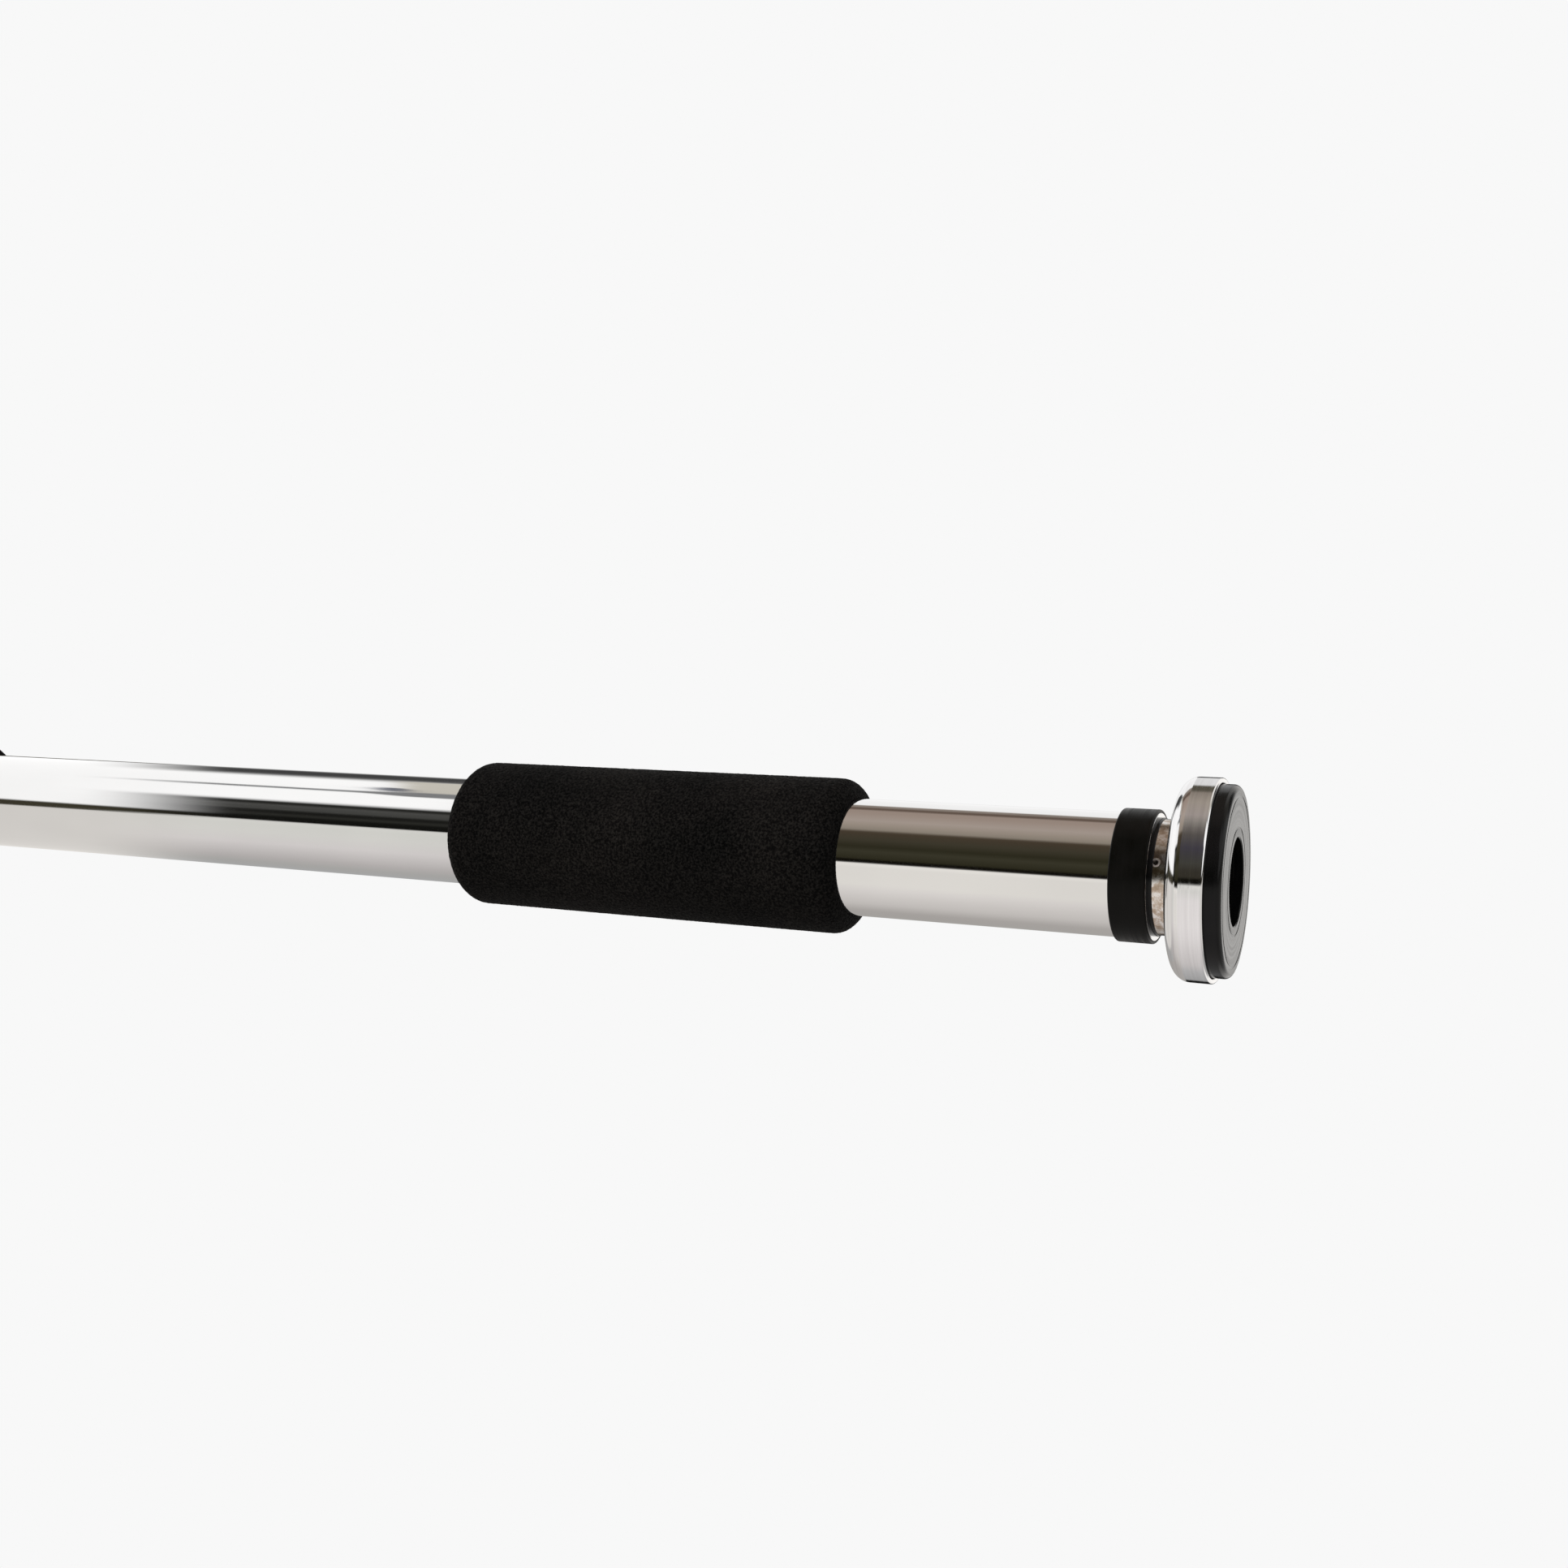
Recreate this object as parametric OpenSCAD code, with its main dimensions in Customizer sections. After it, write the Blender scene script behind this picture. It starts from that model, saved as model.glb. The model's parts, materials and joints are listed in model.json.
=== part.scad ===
/* [Bar] */
// Overall length with both ends screwed right in
closed_length = 664; // [620:2:760]
// How far each end screws out
travel = 120; // [60:4:120]
// Outside diameter of the main tube
tube_od = 32; // [30:0.5:36]
// Wall of the main tube
tube_wall = 1.2; // [1:0.1:1.5]
// Radial gap between the main tube's bore and what slides in it
slide_gap = 0.08; // [0.02:0.01:0.1]

/* [Foam grips] */
// Outside diameter of a foam grip
grip_od = 42.7; // [40:0.1:50]
// Length of a foam grip
grip_length = 122.6; // [100:0.1:140]
// From the foot's face to the grip's outer end
grip_inset = 101.3; // [98:0.1:104]

/* [End collars] */
// Length of the main tube's end that stays behind the foot's face
mouth_inset = 19.5; // [19:0.5:21]
// Outside diameter of the black collar band
band_od = 34.1; // [33.8:0.1:36]
// Length of the black collar band
band_length = 9.3; // [7:0.1:12]
// Sheet thickness of the ferrule that caps the tube's end under the band
ferrule_sheet = 0.3; // [0.3:0.1:0.5]
// Length of the rubber wiper ring in front of the ferrule
wiper_length = 1.2; // [1:0.1:2]

/* [Extension tubes] */
// Wall of an extension tube
ext_wall = 1.2; // [1:0.1:1.5]
// Length of an extension tube
ext_length = 181; // [175:1:185]

/* [Screws] */
// Major diameter of the trapezoidal thread
thread_d = 16; // [14:1:18]
// Gap between the plain spindle and the nut's plain bore
thread_gap = 0.05; // [0.02:0.01:0.1]
// Length of the nut inside the extension tube
nut_length = 22; // [18:1:26]
// Length of the nut's tail that carries the glide ring
tail_length = 9.2; // [9:0.1:10]
// Radius of the nut's tail
tail_r = 12; // [11:0.5:12.5]
// Length of the plug that holds the spindle in the main tube
plug_length = 16; // [14:1:18]
// Diameter of the cross pin through the plug
plug_pin_d = 4; // [3:0.5:5]

/* [Feet] */
// Outside diameter of the steel cup
cup_od = 51.5; // [51:0.1:54]
// Depth of the steel cup from its back to its rim
cup_depth = 9.75; // [8:0.05:12]
// Sheet thickness of the steel cup
cup_wall = 1.2; // [1:0.1:1.5]
// Outside radius of the cup's back corner
cup_corner = 4; // [3.5:0.1:4.5]
// How far the rubber stands proud of the cup's rim
rubber_proud = 3.95; // [3:0.05:5]
// Diameter of the rubber foot
rubber_d = 48.4; // [46:0.1:48.6]
// Diameter of the hole in the rubber's face
hole_d = 22.3; // [20:0.1:26]
// Depth of the wide front step of that hole
hole_lip = 2.5; // [1.5:0.1:4]
// Direction of the cup's pins, measured up from the front
pin_turn = 23; // [0:1:60]

/* [Hidden] */
$fn = 96;

// Radii of the telescoping tubes
half_length = closed_length / 2;
tube_r = tube_od / 2;
bore_r = tube_r - tube_wall;
ext_r = bore_r - slide_gap;
ext_bore_r = ext_r - ext_wall;
thread_r = thread_d / 2;
nut_bore_r = thread_r + thread_gap;

// Every depth below is measured inwards from the face of the rubber foot
rim_at = rubber_proud;
cup_back_at = rim_at + cup_depth;
cup_floor_at = cup_back_at - cup_wall;
ext_end_at = cup_back_at + ext_length;
nut_at = ext_end_at - nut_length;
tail_end_at = ext_end_at + tail_length;
plug_at = tail_end_at + 2.8;
plug_end_at = plug_at + plug_length;
plug_pin_at = plug_at + plug_length / 2;
spindle_end_at = plug_end_at - 1;
spindle_tip_at = nut_at - travel - 6;
spindle_tip_chamfer = 1.5;

// Collar band, ferrule and wiper ring at the main tube's mouth
ferrule_face_at = mouth_inset - ferrule_sheet;
band_r = band_od / 2;
band_bore_r = tube_r + ferrule_sheet;
band_edge = 0.55;
skirt_length = band_length - 0.4;
wiper_at = ferrule_face_at - wiper_length;
wiper_r = bore_r + 0.25;
wiper_lip = 0.15;

// Foam grip
grip_r = grip_od / 2;
grip_round = grip_r - tube_r;

// Glide ring on the nut's tail, held by a circlip
ring_gap = 0.3;
ring_length = 6.2;
ring_slot = 1.6;
ring_r = bore_r - 0.06;
ring_bore_r = tail_r + 0.05;
clip_at = ext_end_at + ring_gap + ring_length + ring_gap;
clip_thickness = 1.2;
clip_groove_r = tail_r - 0.8;
clip_r = tail_r + 1.7;
clip_gap = 5;

// Pins that fix the nut in the extension tube
nut_pin_d = 3;
nut_pin_at = nut_at + nut_length / 2;
nut_pin_foot_r = 10;
pin_head_r = ext_r - 0.2;

// Plug that carries the cup, with two short pins
spigot_length = 23;
spigot_at = cup_back_at;
spigot_end_at = spigot_at + spigot_length;
cup_pin_d = 2.6;
cup_pin_at = wiper_at - 0.6;
cup_pin_foot_r = 6.5;
cup_pin_head_r = ext_r - 0.08;
cup_pin_bore_r = 0.7;
cup_pin_slot = 0.5;

// Steel cup
cup_r = cup_od / 2;
rim_bead_r = 0.7;
screw_hole_r = 3.3;

// Rubber foot, its hole and its fixing screw
rubber_r = rubber_d / 2;
rubber_edge = 1.6;
rubber_back_chamfer = 3.4;
rubber_floor = 2.2;
deep_hole_r = hole_d / 2 - 0.7;
hole_floor_at = cup_floor_at - rubber_floor;
washer_thickness = 3;
washer_r = 10;
washer_at = hole_floor_at - washer_thickness;
screw_r = 3;
screw_head_r = 6;
screw_tip_at = spigot_at + 17;
hex_socket_af = 4;
hex_socket_depth = 1.9;

// Stands its children at the right end: their Z runs inwards along the bar, starting from the foot's face
module at_right_end() {
    translate([half_length, 0, 0]) rotate([0, -90, 0]) children();
}

// A ring or a disc between two depths
module ring(inner_r, outer_r, from, to) {
    translate([0, 0, from]) difference() {
        cylinder(r = outer_r, h = to - from);
        if (inner_r > 0)
            translate([0, 0, -1]) cylinder(r = inner_r, h = to - from + 2);
    }
}

// A round pin that points outwards from the bar's axis at one depth; its angle is measured up from the front
module radial_pin(r, from_r, to_r, depth, angle) {
    translate([0, 0, depth]) rotate([0, 0, angle]) rotate([90, 0, 0])
        translate([0, 0, from_r]) cylinder(r = r, h = to_r - from_r, $fn = 48);
}

// The same pin on both sides of the axis
module radial_pair(r, from_r, to_r, depth, angle) {
    for (side = [0, 180])
        radial_pin(r, from_r, to_r, depth, angle + side);
}

module main_tube() {
    color("gainsboro") difference() {
        translate([-(half_length - mouth_inset), 0, 0]) rotate([0, 90, 0])
            cylinder(r = tube_r, h = 2 * (half_length - mouth_inset));
        translate([-half_length, 0, 0]) rotate([0, 90, 0])
            cylinder(r = bore_r, h = 2 * half_length);
        for (side = [0, 1])
            mirror([side, 0, 0]) at_right_end() translate([0, 0, plug_pin_at]) rotate([90, 0, 0])
                cylinder(d = plug_pin_d, h = 2 * tube_r + 2, center = true, $fn = 48);
    }
}

// A sleeve whose ends round right down to the tube
module foam_grip() {
    color("#1b1a1a") at_right_end() rotate_extrude() intersection() {
        union() {
            translate([0, grip_inset + grip_round])
                square([grip_r, grip_length - 2 * grip_round]);
            for (end = [grip_inset + grip_round, grip_inset + grip_length - grip_round])
                translate([tube_r, end]) circle(r = grip_round);
        }
        translate([tube_r, grip_inset]) square([2 * grip_round, grip_length]);
    }
}

// A flat band with both outer edges rounded
module end_collar() {
    color("#121212") at_right_end() translate([0, 0, ferrule_face_at]) rotate_extrude() intersection() {
        union() {
            square([band_r - band_edge, band_length]);
            translate([0, band_edge]) square([band_r, band_length - 2 * band_edge]);
            for (end = [band_edge, band_length - band_edge])
                translate([band_r - band_edge, end]) circle(r = band_edge, $fn = 48);
        }
        translate([band_bore_r, 0]) square([band_r, band_length]);
    }
}

// A cap of thin sheet: a skirt over the tube's end and a flat lip round its mouth
module collar_ferrule() {
    color("silver") at_right_end() translate([0, 0, ferrule_face_at]) rotate_extrude() {
        translate([tube_r, 0]) square([ferrule_sheet, skirt_length]);
        translate([bore_r, 0]) square([band_bore_r - bore_r, ferrule_sheet]);
    }
}

// A rubber ring round the extension tube, bonded to the ferrule's lip
module wiper_ring() {
    color("#1f1f1f") at_right_end() translate([0, 0, wiper_at]) rotate_extrude() polygon([
        [bore_r, 0],
        [wiper_r - wiper_lip, 0],
        [wiper_r, wiper_lip],
        [wiper_r, wiper_length],
        [bore_r, wiper_length]
    ]);
}

module spindle() {
    color("darkgray") at_right_end() difference() {
        union() {
            translate([0, 0, spindle_tip_at])
                cylinder(r1 = thread_r - spindle_tip_chamfer, r2 = thread_r, h = spindle_tip_chamfer);
            translate([0, 0, spindle_tip_at + spindle_tip_chamfer])
                cylinder(r = thread_r, h = spindle_end_at - spindle_tip_at - spindle_tip_chamfer);
        }
        translate([0, 0, plug_pin_at]) rotate([90, 0, 0])
            cylinder(d = plug_pin_d, h = 2 * thread_r + 2, center = true, $fn = 48);
    }
}

module spindle_plug() {
    color("dimgray") at_right_end() difference() {
        ring(0, bore_r, plug_at, plug_end_at);
        translate([0, 0, plug_at - 1]) cylinder(r = thread_r, h = spindle_end_at - plug_at + 1);
        translate([0, 0, plug_pin_at]) rotate([90, 0, 0])
            cylinder(d = plug_pin_d, h = 2 * bore_r + 2, center = true, $fn = 48);
    }
}

module plug_pin() {
    color("lightslategray") at_right_end() translate([0, 0, plug_pin_at]) rotate([90, 0, 0])
        cylinder(d = plug_pin_d, h = 2 * (tube_r - 0.2), center = true, $fn = 48);
}

// Split so that it springs on over the nut's tail
module glide_ring() {
    color("ivory") at_right_end() difference() {
        ring(ring_bore_r, ring_r, ext_end_at + ring_gap, ext_end_at + ring_gap + ring_length);
        translate([0, -ring_slot / 2, ext_end_at]) cube([2 * bore_r, ring_slot, 3 * ring_length]);
    }
}

module extension_tube() {
    color("lightgray") at_right_end() difference() {
        ring(ext_bore_r, ext_r, cup_back_at, ext_end_at);
        radial_pair(cup_pin_d / 2, ext_bore_r - 2, ext_r + 2, cup_pin_at, pin_turn);
        radial_pair(nut_pin_d / 2, ext_bore_r - 2, ext_r + 2, nut_pin_at, 0);
    }
}

module spindle_nut() {
    color("lightsteelblue") at_right_end() difference() {
        union() {
            ring(0, ext_bore_r, nut_at, ext_end_at);
            ring(0, tail_r, ext_end_at, tail_end_at);
        }
        translate([0, 0, nut_at - 1]) cylinder(r = nut_bore_r, h = tail_end_at - nut_at + 2);
        ring(clip_groove_r, tail_r + 1, clip_at, clip_at + clip_thickness);
        radial_pair(nut_pin_d / 2, nut_pin_foot_r, ext_r, nut_pin_at, 0);
    }
}

module nut_pins() {
    color("lightslategray") at_right_end() radial_pair(nut_pin_d / 2, nut_pin_foot_r, pin_head_r, nut_pin_at, 0);
}

// An open ring in the groove of the nut's tail
module glide_circlip() {
    color("slategray") at_right_end() difference() {
        ring(clip_groove_r, clip_r, clip_at, clip_at + clip_thickness);
        translate([0, -clip_gap / 2, clip_at - 1]) cube([2 * clip_r, clip_gap, clip_thickness + 2]);
    }
}

module cup_spigot() {
    color("gray") at_right_end() difference() {
        ring(0, ext_bore_r, spigot_at, spigot_end_at);
        translate([0, 0, spigot_at - 1]) cylinder(r = screw_r, h = screw_tip_at - spigot_at + 2);
        radial_pair(cup_pin_d / 2, cup_pin_foot_r, ext_r, cup_pin_at, pin_turn);
    }
}

// Two spring pins, each a rolled tube with a slot along it
module cup_pins() {
    color("lightslategray") at_right_end() difference() {
        radial_pair(cup_pin_d / 2, cup_pin_foot_r, cup_pin_head_r, cup_pin_at, pin_turn);
        radial_pair(cup_pin_bore_r, cup_pin_foot_r - 1, ext_r, cup_pin_at, pin_turn);
        for (side = [0, 180])
            translate([0, 0, cup_pin_at]) rotate([0, 0, pin_turn + side]) rotate([90, 0, 0])
                translate([-cup_pin_slot / 2, 0, cup_pin_foot_r - 1])
                    cube([cup_pin_slot, cup_pin_d, ext_r]);
    }
}

// A drawn dish with a round back corner and a rolled rim
module foot_cup() {
    color("whitesmoke") at_right_end() rotate_extrude() {
        translate([screw_hole_r, cup_floor_at])
            square([cup_r - cup_corner - screw_hole_r, cup_wall]);
        translate([cup_r - cup_wall, rim_at + rim_bead_r])
            square([cup_wall, cup_depth - rim_bead_r - cup_corner]);
        translate([cup_r - cup_corner, cup_back_at - cup_corner]) intersection() {
            difference() {
                circle(r = cup_corner);
                circle(r = cup_corner - cup_wall);
            }
            square(cup_corner + 1);
        }
        translate([cup_r - rim_bead_r, rim_at + rim_bead_r]) circle(r = rim_bead_r, $fn = 48);
    }
}

// A thick puck with a round front edge, a stepped hole and a thin floor
module rubber_foot() {
    color("#262525") at_right_end() rotate_extrude() difference() {
        union() {
            translate([0, rubber_edge]) square([rubber_r, cup_floor_at - rubber_edge]);
            square([rubber_r - rubber_edge, rubber_edge + 1]);
            translate([rubber_r - rubber_edge, rubber_edge]) circle(r = rubber_edge, $fn = 64);
        }
        translate([-1, -1]) square([hole_d / 2 + 1, hole_lip + 1]);
        translate([-1, -1]) square([deep_hole_r + 1, hole_floor_at + 1]);
        translate([-1, -1]) square([screw_hole_r + 1, cup_floor_at + 2]);
        translate([0, cup_floor_at]) polygon([
            [rubber_r - rubber_back_chamfer, 0.01],
            [rubber_r + 1, 0.01],
            [rubber_r + 1, -rubber_back_chamfer - 1],
            [rubber_r, -rubber_back_chamfer]
        ]);
    }
}

module foot_washer() {
    color("#303030") at_right_end() difference() {
        ring(screw_hole_r, washer_r, washer_at, washer_at + washer_thickness);
        translate([0, 0, washer_at])
            cylinder(r1 = screw_head_r, r2 = screw_r, h = washer_thickness);
    }
}

// A countersunk screw with a hexagon socket
module foot_screw() {
    color("#383838") at_right_end() difference() {
        union() {
            translate([0, 0, washer_at])
                cylinder(r1 = screw_head_r, r2 = screw_r, h = washer_thickness);
            translate([0, 0, washer_at + washer_thickness])
                cylinder(r = screw_r, h = screw_tip_at - washer_at - washer_thickness);
        }
        translate([0, 0, washer_at - 1])
            cylinder(r = hex_socket_af / sqrt(3), h = hex_socket_depth + 1, $fn = 6);
    }
}

module left() {
    mirror([1, 0, 0]) children();
}

main_tube();

foam_grip();  // right_foam_grip
end_collar();  // right_end_collar
collar_ferrule();  // right_collar_ferrule
wiper_ring();  // right_wiper_ring
spindle();  // right_spindle
spindle_plug();  // right_spindle_plug
plug_pin();  // right_plug_pin
glide_ring();  // right_glide_ring
extension_tube();  // right_extension_tube
spindle_nut();  // right_spindle_nut
nut_pins();  // right_nut_pins
glide_circlip();  // right_glide_circlip
cup_spigot();  // right_cup_spigot
cup_pins();  // right_cup_pins
foot_cup();  // right_foot_cup
rubber_foot();  // right_rubber_foot
foot_washer();  // right_foot_washer
foot_screw();  // right_foot_screw

left() foam_grip();  // left_foam_grip
left() end_collar();  // left_end_collar
left() collar_ferrule();  // left_collar_ferrule
left() wiper_ring();  // left_wiper_ring
left() spindle();  // left_spindle
left() spindle_plug();  // left_spindle_plug
left() plug_pin();  // left_plug_pin
left() glide_ring();  // left_glide_ring
left() extension_tube();  // left_extension_tube
left() spindle_nut();  // left_spindle_nut
left() nut_pins();  // left_nut_pins
left() glide_circlip();  // left_glide_circlip
left() cup_spigot();  // left_cup_spigot
left() cup_pins();  // left_cup_pins
left() foot_cup();  // left_foot_cup
left() rubber_foot();  // left_rubber_foot
left() foot_washer();  // left_foot_washer
left() foot_screw();  // left_foot_screw
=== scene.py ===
"""Looks of a chromed doorway pull-up bar with foam grips and screw-out feet, built around its CAD frame."""

import json
import math

import bmesh
import bpy
import numpy as np
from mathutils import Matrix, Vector

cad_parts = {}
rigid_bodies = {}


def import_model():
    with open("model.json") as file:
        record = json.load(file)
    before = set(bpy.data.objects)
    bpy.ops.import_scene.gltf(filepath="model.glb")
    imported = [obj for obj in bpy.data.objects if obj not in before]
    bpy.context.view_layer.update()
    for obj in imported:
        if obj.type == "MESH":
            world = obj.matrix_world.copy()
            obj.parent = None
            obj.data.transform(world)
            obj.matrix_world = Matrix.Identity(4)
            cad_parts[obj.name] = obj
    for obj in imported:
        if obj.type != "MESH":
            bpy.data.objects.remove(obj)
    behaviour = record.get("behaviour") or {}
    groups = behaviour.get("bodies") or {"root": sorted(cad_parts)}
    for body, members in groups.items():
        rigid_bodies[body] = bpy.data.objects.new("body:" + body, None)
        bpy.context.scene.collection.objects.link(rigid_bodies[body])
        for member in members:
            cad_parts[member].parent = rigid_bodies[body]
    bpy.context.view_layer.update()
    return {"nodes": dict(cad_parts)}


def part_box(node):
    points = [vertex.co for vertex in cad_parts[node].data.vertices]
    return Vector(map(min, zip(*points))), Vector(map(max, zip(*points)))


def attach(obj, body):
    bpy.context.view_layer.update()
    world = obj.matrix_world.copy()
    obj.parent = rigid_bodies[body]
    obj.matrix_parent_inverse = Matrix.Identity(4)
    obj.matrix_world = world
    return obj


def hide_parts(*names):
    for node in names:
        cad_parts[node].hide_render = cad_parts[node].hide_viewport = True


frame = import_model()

MM = 0.001
AROUND = 192  # flats round a turned metal or rubber part
SIDES = (("right", 1), ("left", -1))

# ---------------------------------------------------------------- sizes from the frame

half_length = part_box("right_rubber_foot")[1].x


def depths(node):
    """How far a right-hand node's outer and inner ends lie from the foot's face, in millimetres."""
    low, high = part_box(node)
    return (half_length - high.x) / MM, (half_length - low.x) / MM


def radius(node):
    """A round node's outer radius, in millimetres."""
    low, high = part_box(node)
    return max(high.y, high.z, -low.y, -low.z) / MM


tube_mouth = (half_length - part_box("main_tube")[1].x) / MM
tube_r = radius("main_tube")
bore_r = radius("right_spindle_plug")
neck_r = radius("right_extension_tube")
neck_bore = radius("right_cup_spigot")
grip_r = radius("right_foam_grip")
band_r = radius("right_end_collar")
cup_r = radius("right_foot_cup")
pad_r = radius("right_rubber_foot")
rod_r = radius("right_spindle")

# ---------------------------------------------------------------- turned shapes


def straight(start, end, steps=1):
    """A straight stroke of an outline in (depth, radius): its points and the way out at each."""
    a, b = np.array(start, float), np.array(end, float)
    along = (b - a) / np.linalg.norm(b - a)
    points = [a + (b - a) * k / steps for k in range(steps + 1)]
    return points, [(-along[1], along[0])] * (steps + 1)


def bend(centre, r, start, end, steps=10):
    """A rounded stroke: angles in degrees, 0 towards the bar's middle and 90 away from its axis."""
    turn = np.radians(np.linspace(start, end, steps + 1))
    spokes = np.stack([np.cos(turn), np.sin(turn)], 1)
    way_out = spokes if end < start else -spokes
    return list(np.array(centre, float) + r * spokes), [tuple(w) for w in way_out]


def new_piece(name, vertices, faces):
    """A shaded mesh object at the origin, with its vertices given in metres."""
    mesh = bpy.data.meshes.new(name)
    mesh.from_pydata(np.asarray(vertices).tolist(), [], np.asarray(faces).tolist())
    mesh.validate()
    mesh.shade_smooth()
    piece = bpy.data.objects.new(name, mesh)
    bpy.context.scene.collection.objects.link(piece)
    return piece


def turned(name, side, strokes, around=AROUND, true_normals=True):
    """A part turned on the bar's axis from a closed outline of strokes, clockwise with depth to the right."""
    count = sum(len(points) - 1 for points, _ in strokes)
    turn = np.arange(around) * 2 * math.pi / around
    ring = np.stack([-np.cos(turn), np.sin(turn)], 1)
    outline = np.array([p for points, _ in strokes for p in points[:-1]])
    x = side * (half_length - outline[:, 0] * MM)
    vertices = np.zeros((count, around, 3))
    vertices[:, :, 0] = x[:, None]
    vertices[:, :, 1:] = outline[:, 1, None, None] * MM * ring[None]
    at = np.arange(count * around).reshape(count, around)
    after = np.roll(at, -1, axis=0)
    corners = np.stack(
        [at, after, np.roll(after, -1, axis=1), np.roll(at, -1, axis=1)], -1
    )
    starts = np.array([w for _, ways in strokes for w in ways[:-1]])
    ends = np.array([w for _, ways in strokes for w in ways[1:]])

    def spread(ways, shift):
        r = np.roll(ring, shift, axis=0)
        out = np.zeros((count, around, 3))
        out[:, :, 0] = -side * ways[:, None, 0]
        out[:, :, 1:] = ways[:, 1, None, None] * r[None]
        return out

    normals = np.stack(
        [spread(starts, 0), spread(ends, 0), spread(ends, -1), spread(starts, -1)], 2
    )
    if side > 0:
        corners, normals = corners[..., ::-1], normals[:, :, ::-1]
    piece = new_piece(name, vertices.reshape(-1, 3), corners.reshape(-1, 4))
    if true_normals:
        piece.data.normals_split_custom_set(normals.reshape(-1, 3).tolist())
    return piece


def plain_copy(piece):
    """The evaluated piece as a plain mesh, with its modifiers gone."""
    graph = bpy.context.evaluated_depsgraph_get()
    mesh = bpy.data.meshes.new_from_object(piece.evaluated_get(graph))
    piece.modifiers.clear()
    old, piece.data = piece.data, mesh
    mesh.name = piece.name
    bpy.data.meshes.remove(old)
    return piece


def round_bar(name, middle, direction, r, length, around=48):
    """A round cutter of radius r and that length, in metres, about a middle point."""
    axis = Vector(direction).normalized()
    across = axis.orthogonal().normalized()
    other = axis.cross(across)
    turn = np.arange(around) * 2 * math.pi / around
    vertices = [
        Vector(middle) + axis * end + (across * math.cos(t) + other * math.sin(t)) * r
        for end in (-length / 2, length / 2)
        for t in turn
    ]
    sides = [
        (k, (k + 1) % around, around + (k + 1) % around, around + k)
        for k in range(around)
    ]
    mesh = bpy.data.meshes.new(name)
    mesh.from_pydata(
        vertices, [], [*sides, tuple(range(around))[::-1], tuple(range(around, 2 * around))]
    )
    cutter = bpy.data.objects.new(name, mesh)
    bpy.context.scene.collection.objects.link(cutter)
    return cutter


def drilled(piece, holes):
    """The piece with round cross holes: (x in metres, direction, hole radius in millimetres)."""
    for k, (x, direction, r) in enumerate(holes):
        cutter = round_bar(f"drill_{k}", (x, 0, 0), direction, r * MM, 3 * tube_r * MM)
        cut = piece.modifiers.new(f"hole {k}", "BOOLEAN")
        cut.operation, cut.solver, cut.object = "DIFFERENCE", "EXACT", cutter
    plain_copy(piece)
    for k in range(len(holes)):
        bpy.data.objects.remove(bpy.data.objects[f"drill_{k}"])
    return true_round(piece)


def true_round(piece):
    """Exact normals for a straight tube: round on its walls, flat on its ends and in its holes."""
    mesh = piece.data
    mesh.shade_smooth()
    normals = []
    for face in mesh.polygons:
        flat = np.array(face.normal)
        for v in face.vertices:
            spoke = np.array(mesh.vertices[v].co) * (0, 1, 1)
            spoke /= np.linalg.norm(spoke)
            lean = float(flat @ spoke)
            normals.append(
                tuple(spoke * math.copysign(1, lean)) if abs(lean) > 0.99 else tuple(flat)
            )
    mesh.normals_split_custom_set(normals)
    return piece


# ---------------------------------------------------------------- material helpers


def linear(*shown):
    """A colour as seen on a screen, 0 to 255, as linear light."""
    made = []
    for value in shown:
        v = value / 255
        made.append(v / 12.92 if v <= 0.04045 else ((v + 0.055) / 1.055) ** 2.4)
    return (*made, 1.0)


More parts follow.
